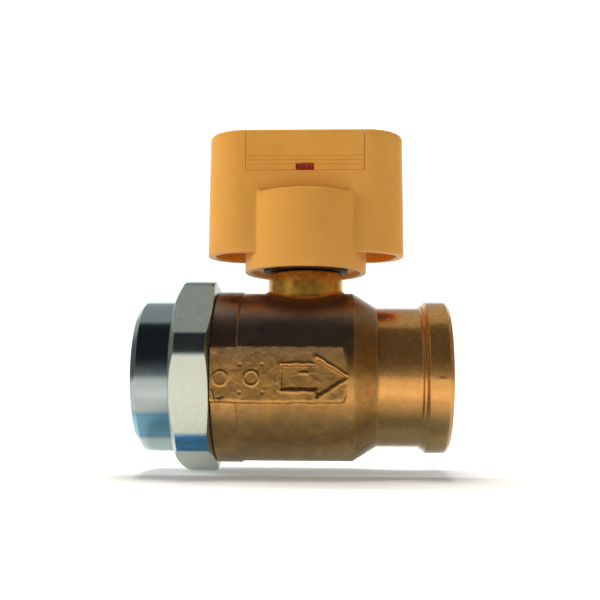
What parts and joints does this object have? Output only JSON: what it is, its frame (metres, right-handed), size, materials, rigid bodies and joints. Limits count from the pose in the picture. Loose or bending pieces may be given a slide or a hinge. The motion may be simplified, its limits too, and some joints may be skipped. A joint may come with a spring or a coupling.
{
  "type": "ball valve",
  "caption": "Quarter-turn gas ball valve with female pipe-thread ends, a steel hexagon inlet connector and a yellow two-winged toggle handle.",
  "frame": {"origin": "centre of the inlet connector's end face, on the pipe axis", "axes": "+X along the pipe in the flow direction, +Z along the stem towards the handle, +Y completing a right-handed frame"},
  "size_m": [0.0803, 0.0494, 0.0895],
  "materials": {
    "cast_brass": "forged and blasted, darkened",
    "machined_brass": "turned",
    "zinc_steel": "zinc plated, blue passivated",
    "chrome": "polished",
    "spring_steel": "bare",
    "fusible_alloy": "dull cast",
    "black_steel": "black oxide",
    "yellow_plastic": "moulded, satin",
    "red_plastic": "moulded",
    "ptfe": "turned",
    "black_rubber": "moulded"
  },
  "bodies": {
    "body": {"valve_body": "cast_brass", "inlet_connector": "zinc_steel", "body_seal_ring": "black_rubber", "seat_ring_inlet": "ptfe", "seat_ring_outlet": "ptfe", "seat_backing_ring_inlet": "black_rubber", "seat_backing_ring_outlet": "black_rubber", "stem_thrust_washer": "ptfe", "fuse_holder": "zinc_steel", "fuse_retaining_ring": "spring_steel", "fusible_sleeve": "fusible_alloy", "closing_spring": "spring_steel"},
    "handle": {"handle": "yellow_plastic", "cover_latch": "red_plastic", "handle_screw": "zinc_steel", "handle_screw_washer": "spring_steel", "stop_disc": "black_steel", "stem": "machined_brass", "stem_seal_lower": "black_rubber", "stem_seal_upper": "black_rubber"},
    "cover": {"handle_cover": "yellow_plastic"},
    "ball": {"ball": "chrome"},
    "plug": {"closing_plug": "zinc_steel"}
  },
  "joints": [
    {"name": "handle_turn", "type": "hinge", "parent": "body", "child": "handle", "pos_m": [0.043, 0, 0], "axis": [0, 0, 1], "range_deg": [-90, 0]},
    {"name": "ball_turn", "type": "hinge", "parent": "body", "child": "ball", "pos_m": [0.043, 0, 0], "axis": [0, 0, 1], "range_deg": [-90, 0]},
    {"name": "cover_lift", "type": "slide", "parent": "handle", "child": "cover", "axis": [0, 0, 1], "range_m": [0, 0.012]},
    {"name": "plug_close", "type": "slide", "parent": "body", "child": "plug", "axis": [1, 0, 0], "range_m": [0, 0.005], "deforming": ["closing_spring"]}
  ],
  "couplings": [
    {"joint": "ball_turn", "follows": "handle_turn", "ratio": 1}
  ]
}
